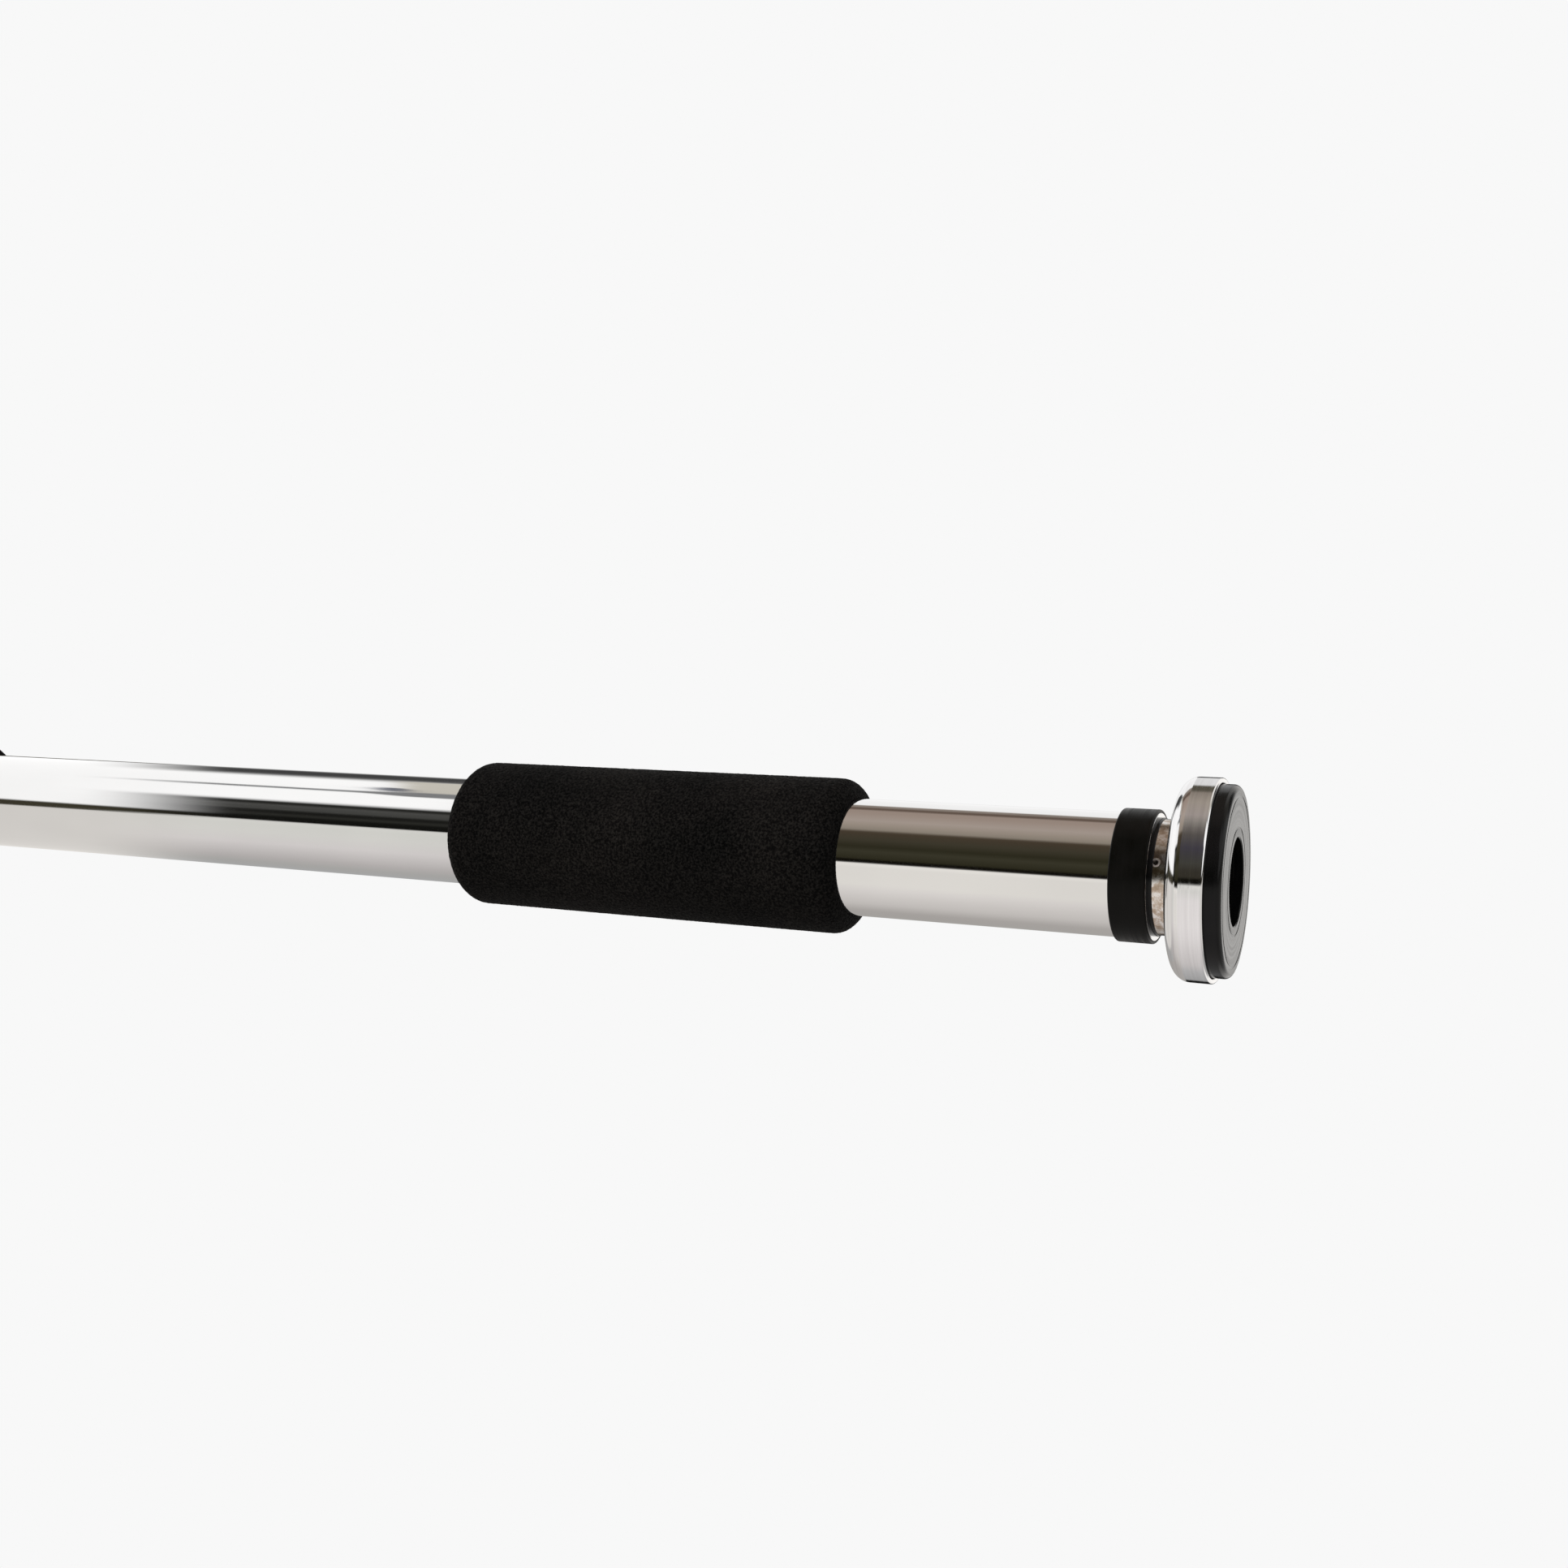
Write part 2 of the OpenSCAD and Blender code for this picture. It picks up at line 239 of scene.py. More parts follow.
class Finish:
    """A material made of nodes on the piece's own coordinates."""

    def __init__(self, name, **sockets):
        self.material = bpy.data.materials.new(name)
        self.material.use_nodes = True
        self.tree = self.material.node_tree
        self.shader = self.tree.nodes["Principled BSDF"]
        self.place = self.tree.nodes.new("ShaderNodeTexCoord").outputs["Object"]
        for socket, value in sockets.items():
            self.shader.inputs[socket.replace("_", " ")].default_value = value

    def node(self, kind, settings=(), **inputs):
        """A node with its settings, and its inputs given as values or as other sockets."""
        made = self.tree.nodes.new(kind)
        for key, value in dict(settings).items():
            setattr(made, key, value)
        for name, value in inputs.items():
            socket = made.inputs[int(name[1:]) if name[0] == "_" else name]
            if isinstance(value, bpy.types.NodeSocket):
                self.tree.links.new(value, socket)
            else:
                socket.default_value = value
        return made

    def grain(self, scale, detail=2.0, stretch=(1, 1, 1), rough=0.5, place=None):
        """Noise of scale grains for each metre, drawn out along an axis where stretch is small."""
        laid = self.node(
            "ShaderNodeMapping", Vector=place or self.place, Scale=stretch
        ).outputs[0]
        return self.node(
            "ShaderNodeTexNoise",
            Vector=laid,
            Scale=scale,
            Detail=detail,
            Roughness=rough,
        ).outputs["Fac"]

    def rings(self, turns=0.4):
        """Coordinates that run along the axis, out from it, and a little round it."""
        split = self.node("ShaderNodeSeparateXYZ", Vector=self.place)
        flat = self.node(
            "ShaderNodeCombineXYZ", Y=split.outputs["Y"], Z=split.outputs["Z"]
        ).outputs[0]
        out = self.node("ShaderNodeVectorMath", {"operation": "LENGTH"}, _0=flat)
        way = self.node("ShaderNodeVectorMath", {"operation": "NORMALIZE"}, _0=flat)
        bit = self.node(
            "ShaderNodeVectorMath", {"operation": "SCALE"}, _0=way.outputs[0], Scale=turns * MM
        )
        turned_bit = self.node("ShaderNodeSeparateXYZ", Vector=bit.outputs[0])
        side = self.node(
            "ShaderNodeMath",
            {"operation": "ADD"},
            _0=out.outputs["Value"],
            _1=turned_bit.outputs["Y"],
        )
        return self.node(
            "ShaderNodeCombineXYZ",
            X=split.outputs["X"],
            Y=side.outputs[0],
            Z=turned_bit.outputs["Z"],
        ).outputs[0]

    def between(self, value, low, high, start=0.3, end=0.7):
        """The value brought between low and high."""
        return self.node(
            "ShaderNodeMapRange",
            Value=value,
            _1=start,
            _2=end,
            _3=low,
            _4=high,
        ).outputs[0]

    def blend(self, value, *stops):
        """A colour for the value, from stops of (value, colour)."""
        ramp = self.node("ShaderNodeValToRGB", Fac=value)
        set_ramp(ramp.color_ramp, stops)
        return ramp.outputs["Color"]

    def wear(self, colour=None, roughness=None, bumps=()):
        """Sends the colour, roughness and heights (value, metres) to the shader."""
        if colour is not None:
            self.tree.links.new(colour, self.shader.inputs["Base Color"])
        if roughness is not None:
            self.tree.links.new(roughness, self.shader.inputs["Roughness"])
        normal = None
        for height, distance in bumps:
            bump = self.node("ShaderNodeBump", Height=height, Distance=distance)
            if normal is not None:
                self.tree.links.new(normal, bump.inputs["Normal"])
            normal = bump.outputs["Normal"]
        if normal is not None:
            self.tree.links.new(normal, self.shader.inputs["Normal"])
        return self.material


def set_ramp(ramp, stops):
    """Puts the stops, (place, colour), on a colour ramp in place of its own two."""
    while len(ramp.elements) > 1:
        ramp.elements.remove(ramp.elements[-1])
    ramp.elements[0].position, ramp.elements[0].color = stops[0]
    for place, colour in stops[1:]:
        ramp.elements.new(place).color = colour


# ---------------------------------------------------------------- finishes

CHROME_SHINE = 0.75  # how much of the light polished chrome gives back


def tube_chrome():
    """Chrome on drawn tube, with faint lines along it from the polishing belt."""
    f = Finish("tube chrome polished along", Metallic=1.0)
    lines = f.grain(900, detail=3, stretch=(0.006, 1, 1))
    haze = f.grain(40, detail=3, stretch=(0.4, 1, 1))
    tone = f.blend(
        haze, (0.3, (0.73, 0.725, 0.72, 1)), (0.7, (0.77, 0.765, 0.76, 1))
    )
    return f.wear(tone, f.between(lines, 0.03, 0.075), [(lines, 0.003 * MM)])


def cup_chrome():
    """Chrome on pressed sheet, polished on a lathe, so its lines run round it."""
    f = Finish("cup chrome polished round", Metallic=1.0)
    lines = f.grain(1500, detail=3, place=f.rings())
    tone = f.blend(
        lines, (0.34, (0.7, 0.69, 0.69, 1)), (0.66, (0.8, 0.795, 0.795, 1))
    )
    return f.wear(tone, f.between(lines, 0.035, 0.11), [(lines, 0.007 * MM)])


def neck_chrome():
    """Chrome on the inner tube, scuffed round where it slides, duller by the cup, with a brown painted reflection
    laid into its colour there.
    """
    f = Finish("neck chrome with slide marks", Metallic=1.0)
    lines = f.grain(900, detail=3, stretch=(0.02, 1, 1))
    haze = f.grain(45, detail=3, stretch=(0.5, 1, 1))
    clean = f.blend(haze, (0.3, (0.68, 0.66, 0.64, 1)), (0.7, (0.75, 0.74, 0.73, 1)))
    patch_noise = f.grain(420, detail=4, rough=0.6)
    # Painted reflection: these brown tones stand in for the tan that the neck reflects near the cup.
    brown_painted_reflection = f.blend(
        patch_noise,
        (0.36, (0.36, 0.28, 0.21, 1)),
        (0.48, (0.5, 0.42, 0.35, 1)),
        (0.58, (0.74, 0.71, 0.68, 1)),
    )
    along = f.node("ShaderNodeSeparateXYZ", Vector=f.place).outputs["X"]
    outward = f.node("ShaderNodeMath", {"operation": "ABSOLUTE"}, _0=along).outputs[0]
    reach = half_length - 20 * MM
    by_cup = f.between(outward, 0, 1, reach - 8 * MM, reach)
    # Mixes the painted reflection into the colour near the cup.
    tone = f.node("ShaderNodeMix", {"data_type": "RGBA"}, _0=by_cup)
    f.tree.links.new(clean, tone.inputs[6])
    f.tree.links.new(brown_painted_reflection, tone.inputs[7])
    dull = f.node("ShaderNodeMath", {"operation": "MULTIPLY"}, _0=patch_noise, _1=by_cup).outputs[0]
    return f.wear(
        tone.outputs[2],
        f.between(dull, 0.06, 0.24, 0.2, 0.7),
        [(lines, 0.003 * MM), (dull, 0.02 * MM)],
    )


def sleeve_foam():
    """Black closed-cell foam with a fine pebbled skin."""
    f = Finish("sleeve foam black", Specular_IOR_Level=0.04)
    pebble = f.grain(1500, detail=2, rough=0.6)
    dust = f.grain(40, detail=3)
    low = f.blend(dust, (0.35, linear(2, 2, 2)), (0.7, linear(6, 5, 5)))
    high = f.blend(dust, (0.35, linear(16, 15, 14)), (0.7, linear(24, 22, 20)))
    tone = f.node("ShaderNodeMix", {"data_type": "RGBA"}, _0=f.between(pebble, 0, 1, 0.42, 0.68))
    f.tree.links.new(low, tone.inputs[6])
    f.tree.links.new(high, tone.inputs[7])
    return f.wear(
        tone.outputs[2], f.between(pebble, 0.95, 0.65), [(pebble, 0.6 * MM)]
    )


def band_plastic():
    """Satin black plastic, marked round by its mould."""
    f = Finish("band plastic satin black", Specular_IOR_Level=0.08)
    lines = f.grain(1500, detail=3, place=f.rings())
    dust = f.grain(120, detail=3)
    tone = f.blend(dust, (0.35, linear(3, 3, 2)), (0.7, linear(8, 7, 6)))
    return f.wear(tone, f.between(lines, 0.25, 0.5), [(lines, 0.015 * MM)])


def pad_rubber():
    """Black moulded rubber with a dull skin."""
    f = Finish("foot rubber moulded black", Specular_IOR_Level=0.16)
    rings = f.grain(900, detail=3, place=f.rings(1.5))
    skin = f.grain(2600, detail=2)
    dust = f.grain(110, detail=4)
    tone = f.blend(dust, (0.35, linear(4, 4, 4)), (0.7, linear(10, 9, 9)))
    return f.wear(
        tone,
        f.between(rings, 0.14, 0.26),
        [(rings, 0.015 * MM), (skin, 0.006 * MM)],
    )


def zinc_plate():
    """Bright zinc plate with a faint blue-yellow cast."""
    f = Finish("zinc plate bright", Metallic=1.0)
    cast = f.grain(90, detail=3)
    lines = f.grain(1200, detail=2, place=f.rings())
    tone = f.blend(
        cast,
        (0.35, (0.55, 0.57, 0.62, 1)),
        (0.55, (0.62, 0.61, 0.58, 1)),
        (0.7, (0.66, 0.6, 0.48, 1)),
    )
    return f.wear(tone, f.between(lines, 0.22, 0.38), [(lines, 0.006 * MM)])


def pin_steel():
    """Ground spring steel, oiled."""
    f = Finish("pin steel ground", Metallic=1.0)
    lines = f.grain(2200, detail=2)
    tone = f.blend(lines, (0.3, (0.76, 0.72, 0.69, 1)), (0.7, (0.9, 0.86, 0.83, 1)))
    return f.wear(tone, f.between(lines, 0.5, 0.66), [(lines, 0.004 * MM)])


def screw_black():
    """Black oxide on hardened steel."""
    f = Finish("screw steel black oxide", Metallic=0.85)
    bloom = f.grain(700, detail=3)
    tone = f.blend(bloom, (0.3, linear(26, 26, 28)), (0.7, linear(48, 47, 48)))
    return f.wear(tone, f.between(bloom, 0.35, 0.55), [(bloom, 0.006 * MM)])


def glide_nylon():
    """Natural nylon, slightly clear, milled."""
    f = Finish(
        "glide nylon natural", Subsurface_Weight=0.15, Subsurface_Scale=0.8 * MM
    )
    cloud = f.grain(300, detail=3)
    lines = f.grain(1400, detail=2, place=f.rings())
    tone = f.blend(cloud, (0.3, linear(222, 217, 200)), (0.7, linear(236, 232, 220)))
    return f.wear(tone, f.between(lines, 0.38, 0.55), [(lines, 0.01 * MM)])


finishes = {
    "chrome": tube_chrome(),
    "cup": cup_chrome(),
    "neck": neck_chrome(),
    "black_foam": sleeve_foam(),
    "black_plastic": band_plastic(),
    "black_rubber": pad_rubber(),
    "zinc_steel": zinc_plate(),
    "pin_steel": pin_steel(),
    "black_steel": screw_black(),
    "nylon": glide_nylon(),
}

# ---------------------------------------------------------------- geometry node trees


def node_tree(name, *inputs):
    """An empty Geometry Nodes tree with its named inputs, (name, kind), and a way to add nodes."""
    tree = bpy.data.node_groups.new(name, "GeometryNodeTree")
    tree.interface.new_socket("Geometry", in_out="OUTPUT", socket_type="NodeSocketGeometry")
    tree.interface.new_socket("Geometry", in_out="INPUT", socket_type="NodeSocketGeometry")
    for label, kind in inputs:
        tree.interface.new_socket(label, in_out="INPUT", socket_type=f"NodeSocket{kind}")

    def add(kind, settings=(), **sockets):
        made = tree.nodes.new(kind)
        for key, value in dict(settings).items():
            setattr(made, key, value)
        for key, value in sockets.items():
            socket = made.inputs[int(key[1:]) if key[0] == "_" else key.replace("_", " ")]
            if isinstance(value, bpy.types.NodeSocket):
                tree.links.new(value, socket)
            else:
                socket.default_value = value
        return made

    return tree, add


def close_tree(tree, add, geometry, material):
    """Ends a tree in Realize Instances and Set Material."""
    real = add("GeometryNodeRealizeInstances", Geometry=geometry)
    dressed = add("GeometryNodeSetMaterial", Geometry=real.outputs[0], Material=material)
    out = tree.nodes.new("NodeGroupOutput")
    tree.links.new(dressed.outputs[0], out.inputs[0])
    return tree


def foam_skin_tree():
    """Raises a pebbled skin on the sleeve, and leaves the bore that grips the tube smooth."""
    tree, add = node_tree(
        "foam skin",
        ("Pebble size", "Float"),
        ("Pebble height", "Float"),
        ("Smooth up to radius", "Float"),
        ("Seed", "Float"),
        ("Material", "Material"),
    )
    given = tree.nodes.new("NodeGroupInput").outputs
    at = add("GeometryNodeInputPosition").outputs[0]
    split = add("ShaderNodeSeparateXYZ", Vector=at).outputs
    flat = add("ShaderNodeCombineXYZ", Y=split["Y"], Z=split["Z"]).outputs[0]
    out = add("ShaderNodeVectorMath", {"operation": "LENGTH"}, _0=flat).outputs["Value"]
    rise_end = add(
        "ShaderNodeMath", {"operation": "ADD"}, _0=given["Smooth up to radius"], _1=2 * MM
    ).outputs[0]
    rise = add(
        "ShaderNodeMapRange", Value=out, _1=given["Smooth up to radius"], _2=rise_end
    ).outputs[0]
    scale = add(
        "ShaderNodeMath", {"operation": "DIVIDE"}, _0=1.0, _1=given["Pebble size"]
    ).outputs[0]
    noise = add(
        "ShaderNodeTexNoise",
        {"noise_dimensions": "4D"},
        Vector=at,
        W=given["Seed"],
        Scale=scale,
        Detail=1.5,
        Roughness=0.6,
    ).outputs["Fac"]
    level = add("ShaderNodeMath", {"operation": "SUBTRACT"}, _0=noise, _1=0.62).outputs[0]
    height = add(
        "ShaderNodeMath", {"operation": "MULTIPLY"}, _0=level, _1=given["Pebble height"]
    ).outputs[0]
    height = add("ShaderNodeMath", {"operation": "MULTIPLY"}, _0=height, _1=rise).outputs[0]
    shift = add(
        "ShaderNodeVectorMath",
        {"operation": "SCALE"},
        _0=add("GeometryNodeInputNormal").outputs[0],
        Scale=height,
    ).outputs[0]
    moved = add("GeometryNodeSetPosition", Geometry=given["Geometry"], Offset=shift)
    return close_tree(tree, add, moved.outputs[0], given["Material"])


def thread_tree():
    """A rod with a trapezoidal thread: a grid rolled up and sheared by one lead for each turn."""
    tree, add = node_tree(
        "trapezoidal thread",
        ("Start", "Vector"),
        ("Length", "Float"),
        ("Lead", "Float"),
        ("Crest radius", "Float"),
        ("Core radius", "Float"),
        ("Hand", "Float"),
        ("Material", "Material"),
    )
    given = tree.nodes.new("NodeGroupInput").outputs

    def calc(operation, a, b=0.0, c=0.0):
        sockets = {"_0": a, "_1": b}
        if operation in ("MULTIPLY_ADD", "COMPARE"):
            sockets["_2"] = c
        return add("ShaderNodeMath", {"operation": operation}, **sockets).outputs[0]

    steps = 20  # rows for each turn: 7 on the crest, 3 on a flank, 7 in the root, 3 on a flank
    over = calc("MULTIPLY_ADD", given["Lead"], 2.0, given["Length"])
    rows = calc("MULTIPLY", calc("DIVIDE", over, given["Lead"]), float(steps))
    rows = calc("ADD", calc("ROUND", rows), 1.0)
    grid = add(
        "GeometryNodeMeshGrid", Size_X=over, Size_Y=2 * math.pi, Vertices_X=rows, Vertices_Y=33
    )
    split = add(
        "ShaderNodeSeparateXYZ", Vector=add("GeometryNodeInputPosition").outputs[0]
    ).outputs
    row = calc("MULTIPLY_ADD", over, 0.5, split["X"])
    turn = calc("ADD", split["Y"], math.pi)
    phase = calc("FRACT", calc("ADD", calc("DIVIDE", row, given["Lead"]), 1e-4))
    down = add("ShaderNodeMapRange", Value=phase, _1=7 / steps, _2=10 / steps).outputs[0]
    up = add("ShaderNodeMapRange", Value=phase, _1=17 / steps, _2=1.0).outputs[0]
    tooth = calc("ADD", calc("SUBTRACT", 1.0, down), up)
    share = calc("DIVIDE", turn, 2 * math.pi)
    shear = calc("MULTIPLY", calc("MULTIPLY", share, given["Lead"]), given["Hand"])
    place = calc("ADD", calc("SUBTRACT", row, given["Lead"]), shear)
    from_start = place
    from_end = calc("SUBTRACT", given["Length"], place)
    nearest = calc("MINIMUM", from_start, from_end)
    grow = add("ShaderNodeMapRange", Value=nearest, _1=0.0, _2=2.5 * MM).outputs[0]
    height = calc("SUBTRACT", given["Crest radius"], given["Core radius"])
    bulk = calc("MULTIPLY_ADD", calc("MULTIPLY", tooth, grow), height, given["Core radius"])
    closing = add("ShaderNodeMapRange", Value=nearest, _1=-1.5 * MM, _2=0.0).outputs[0]
    r = calc("MULTIPLY", bulk, closing)
    x = calc("MINIMUM", calc("MAXIMUM", place, 0.0), given["Length"])
    rolled = add(
        "ShaderNodeCombineXYZ",
        X=x,
        Y=calc("MULTIPLY", r, calc("COSINE", turn)),
        Z=calc("MULTIPLY", r, calc("SINE", turn)),
    ).outputs[0]
    rolled = add("ShaderNodeVectorMath", {"operation": "ADD"}, _0=rolled, _1=given["Start"])
    moved = add(
        "GeometryNodeSetPosition", Geometry=grid.outputs["Mesh"], Position=rolled.outputs[0]
    )
    whole = add("GeometryNodeMergeByDistance", Geometry=moved.outputs[0], Distance=0.01 * MM)
    return close_tree(tree, add, whole.outputs[0], given["Material"])


def grown(piece, tree, **inputs):
    """The piece made by a Geometry Nodes tree with those inputs, as a plain mesh."""
    maker = piece.modifiers.new(tree.name, "NODES")
    maker.node_group = tree
    sockets = {s.name: s.identifier for s in tree.interface.items_tree if s.in_out == "INPUT"}
    for name, value in inputs.items():
        maker[sockets[name.replace("_", " ")]] = value
    return plain_copy(piece)


foam_skin = foam_skin_tree()
thread = thread_tree()

# ---------------------------------------------------------------- pieces


def dress(piece, finish):
    """Gives the piece its one material."""
    piece.data.materials.clear()
    piece.data.materials.append(finishes[finish])
    return piece


def settle(piece, body, node):
    """The piece rides on its body and stands in for its CAD node, which it hides."""
    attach(piece, body)
    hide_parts(node)
    return piece


def main_tube():
    """The long tube, with the cross holes of its two plug pins under the grips."""
    pin_x = (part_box("right_plug_pin")[0].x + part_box("right_plug_pin")[1].x) / 2
    pin_r = (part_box("right_plug_pin")[1].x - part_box("right_plug_pin")[0].x) / 2 / MM
    far = 2 * half_length / MM - tube_mouth
    near_pin = half_length / MM - pin_x / MM
    cuts = [near_pin - 6, near_pin + 6]
    cuts += [2 * half_length / MM - c for c in reversed(cuts)]
    stops = [tube_mouth + 0.15, *cuts, far - 0.15]
    outer = [straight((a, tube_r), (b, tube_r)) for a, b in zip(stops, stops[1:])]
    back = [tube_mouth, *cuts, far][::-1]
    inner = [straight((a, bore_r), (b, bore_r)) for a, b in zip(back, back[1:])]
    lead_in = straight((tube_mouth, tube_r - 0.15), (tube_mouth + 0.15, tube_r))
    lead_out = straight((far - 0.15, tube_r), (far, tube_r - 0.15))
    outline = [
        straight((tube_mouth, bore_r), (tube_mouth, tube_r - 0.15)),
        lead_in,
        *outer,
        lead_out,
        straight((far, tube_r - 0.15), (far, bore_r)),
        *inner,
    ]
    piece = turned("chromed_tube", 1, outline)
    drilled(piece, [(pin_x, (0, 1, 0), pin_r), (-pin_x, (0, 1, 0), pin_r)])
    return settle(dress(piece, "chrome"), "bar", "main_tube")


def foam_sleeve(name, side):
    """A foam sleeve with fully rounded ends and a pebbled skin."""
    start, end = depths("right_foam_grip")
    wall = grip_r - tube_r
    rows = round((end - start - 2 * wall) / 0.45)
    outline = [
        bend((start + wall, tube_r), wall, 180, 90, 20),
        straight((start + wall, grip_r), (end - wall, grip_r), rows),
        bend((end - wall, tube_r), wall, 90, 0, 20),
        straight((end, tube_r), (start, tube_r), 4),
    ]
    piece = turned(f"{name}_foam_sleeve", side, outline, around=300, true_normals=False)
    grown(
        piece,
        foam_skin,
        Pebble_size=0.8 * MM,
        Pebble_height=0.35 * MM,
        Smooth_up_to_radius=(tube_r + 0.2) * MM,
        Seed=3.0 + side,
        Material=finishes["black_foam"],
    )
    settle(piece, "bar", f"{name}_foam_grip")
    return piece


def end_band(name, side):
    """The black band round the tube's end, its edges rounded."""
    start, end = depths("right_end_collar")
    soft, bore = 0.55, 16.3
    outline = [
        straight((start, bore), (start, band_r - soft)),
        bend((start + soft, band_r - soft), soft, 180, 90, 6),
        straight((start + soft, band_r), (end - soft, band_r)),
        bend((end - soft, band_r - soft), soft, 90, 0, 6),
        straight((end, band_r - soft), (end, bore)),
        straight((end, bore), (start, bore)),
    ]
    piece = turned(f"{name}_end_band", side, outline)
    return settle(dress(piece, "black_plastic"), "bar", f"{name}_end_collar")


def bright_ferrule(name, side):
    """The thin sheet cap on the tube's end: a skirt under the band and a flat lip round the mouth."""
    start, end = depths("right_collar_ferrule")
    sheet = 0.3
    skirt = tube_r + sheet
    outline = [
        straight((start, bore_r), (start, skirt - sheet)),
        bend((start + sheet, tube_r), sheet, 180, 90, 6),
        straight((start + sheet, skirt), (end, skirt)),
        straight((end, skirt), (end, tube_r)),
        straight((end, tube_r), (start + sheet, tube_r)),
        straight((start + sheet, tube_r), (start + sheet, bore_r)),
        straight((start + sheet, bore_r), (start, bore_r)),
    ]
    piece = turned(f"{name}_bright_ferrule", side, outline)
    return settle(dress(piece, "cup"), "bar", f"{name}_collar_ferrule")


def neck_wiper(name, side):
    """The rubber ring on the ferrule's lip that wipes the neck clean, its front edge bevelled."""
    start, end = depths("right_wiper_ring")
    outer, bevel = radius("right_wiper_ring"), 0.15
    outline = [
        straight((start, bore_r), (start, outer - bevel)),
        straight((start, outer - bevel), (start + bevel, outer)),
        straight((start + bevel, outer), (end, outer)),
        straight((end, outer), (end, bore_r)),
        straight((end, bore_r), (start, bore_r)),
    ]
    piece = turned(f"{name}_neck_wiper", side, outline)
    return settle(dress(piece, "black_rubber"), "bar", f"{name}_wiper_ring")


PIN_LEAN = math.radians(23)


def neck_tube(name, side):
    """The inner tube that screws out of the bar, drilled for the pins at both of its ends."""
    start, end = depths("right_extension_tube")
    low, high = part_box("right_cup_pins")
    cup_pin = (low.x + high.x) / 2
    cup_pin_r = (high.x - low.x) / 2 / MM
    low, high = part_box("right_nut_pins")
    nut_pin = (low.x + high.x) / 2
    nut_pin_r = (high.x - low.x) / 2 / MM
    front, rear = half_length / MM - cup_pin / MM, half_length / MM - nut_pin / MM
    stops = [start, front - 1.9, front + 1.9, rear - 2.5, rear + 2.5, end]
    outline = [
        straight((start, neck_bore), (start, neck_r)),
        *[straight((a, neck_r), (b, neck_r)) for a, b in zip(stops, stops[1:])],
        straight((end, neck_r), (end, neck_bore)),
        *[
            straight((a, neck_bore), (b, neck_bore))
            for a, b in zip(stops[::-1], stops[::-1][1:])
        ],
    ]
    piece = turned(f"{name}_neck_tube", side, outline)
    leaning = (0, -math.cos(PIN_LEAN), math.sin(PIN_LEAN))
    drilled(
        piece,
        [
            (side * cup_pin, leaning, cup_pin_r),
            (side * nut_pin, (0, 1, 0), nut_pin_r),
        ],
    )
    return settle(
        dress(piece, "neck"), f"{name}_foot", f"{name}_extension_tube"
    )


def roll_pins(name, side):
    """The two short spring pins that hold the cup's spigot: split tubes with bevelled ends."""
    low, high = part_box("right_cup_pins")
    x = side * (low.x + high.x) / 2
    outer = (high.x - low.x) / 2
    head = (high.y - outer * math.sin(PIN_LEAN)) / math.cos(PIN_LEAN)
    bore, bevel, slot, steps = 0.7 * MM, 0.3 * MM, math.radians(30), 40
    turn = math.pi + np.linspace(slot / 2, 2 * math.pi - slot / 2, steps + 1)
    ends = (
        (6.5 * MM, outer - bevel),
        (6.5 * MM + bevel, outer),
        (head - bevel, outer),
        (head, outer - bevel),
    )
    vertices, faces = [], []
    for way in (1, -1):
        axis = Vector((0, -way * math.cos(PIN_LEAN), way * math.sin(PIN_LEAN)))
        across = Vector((side, 0, 0))
        other = axis.cross(across)
        first = len(vertices)
        loop = [(along, r) for along, r in ends]
        loop += [(head, bore), (ends[0][0], bore)]
        for t in turn:
            spoke = across * math.cos(t) + other * math.sin(t)
            vertices += [Vector((x, 0, 0)) + axis * a + spoke * r for a, r in loop]
        n = len(loop)
        for k in range(steps):
            for m in range(n):
                a, b = first + k * n + m, first + k * n + (m + 1) % n
                faces.append((a, b, b + n, a + n))
        last = first + steps * n
        for cap in (
            [first + m for m in range(n)][::-1],
            [last + m for m in range(n)],
        ):
            faces += [tuple(cap[q] for q in (0, 1, 4, 5)), tuple(cap[q] for q in (1, 2, 3, 4))]
    mesh = bpy.data.meshes.new(f"{name}_roll_pins")
    mesh.from_pydata(vertices, [], faces)
    shell = bmesh.new()
    shell.from_mesh(mesh)
    bmesh.ops.recalc_face_normals(shell, faces=shell.faces)
    shell.to_mesh(mesh)
    shell.free()
    mesh.shade_smooth()
    mesh.set_sharp_from_angle(angle=math.radians(35))
    piece = bpy.data.objects.new(mesh.name, mesh)
    bpy.context.scene.collection.objects.link(piece)
    return settle(dress(piece, "pin_steel"), f"{name}_foot", f"{name}_cup_pins")


def dished_cup(name, side):
    """The pressed cup: flat floor, round corner, straight side and a rolled rim."""
    start, floor_back = depths("right_foot_cup")
    sheet, corner, bead, hole = 1.2, 4.0, 0.7, 3.3
    floor_front = floor_back - sheet
    corner_at = (floor_back - corner, cup_r - corner)
    bead_at = (start + bead, cup_r - bead)
    meet = math.degrees(math.acos((sheet - bead) / bead))
    outline = [
        straight((floor_front, hole), (floor_front, corner_at[1]), 6),
        bend(corner_at, corner - sheet, 0, 90, 10),
        straight(
            (corner_at[0], cup_r - sheet),
            (bead_at[0] + bead * math.sin(math.radians(meet)), cup_r - sheet),
        ),
        bend(bead_at, bead, meet - 90, -270, 24),
        straight((bead_at[0], cup_r), (corner_at[0], cup_r)),
        bend(corner_at, corner, 90, 0, 14),
        straight((floor_back, corner_at[1]), (floor_back, hole), 6),
        straight((floor_back, hole), (floor_front, hole)),
    ]
    piece = turned(f"{name}_dished_cup", side, outline)
    return settle(dress(piece, "cup"), f"{name}_foot", f"{name}_foot_cup")


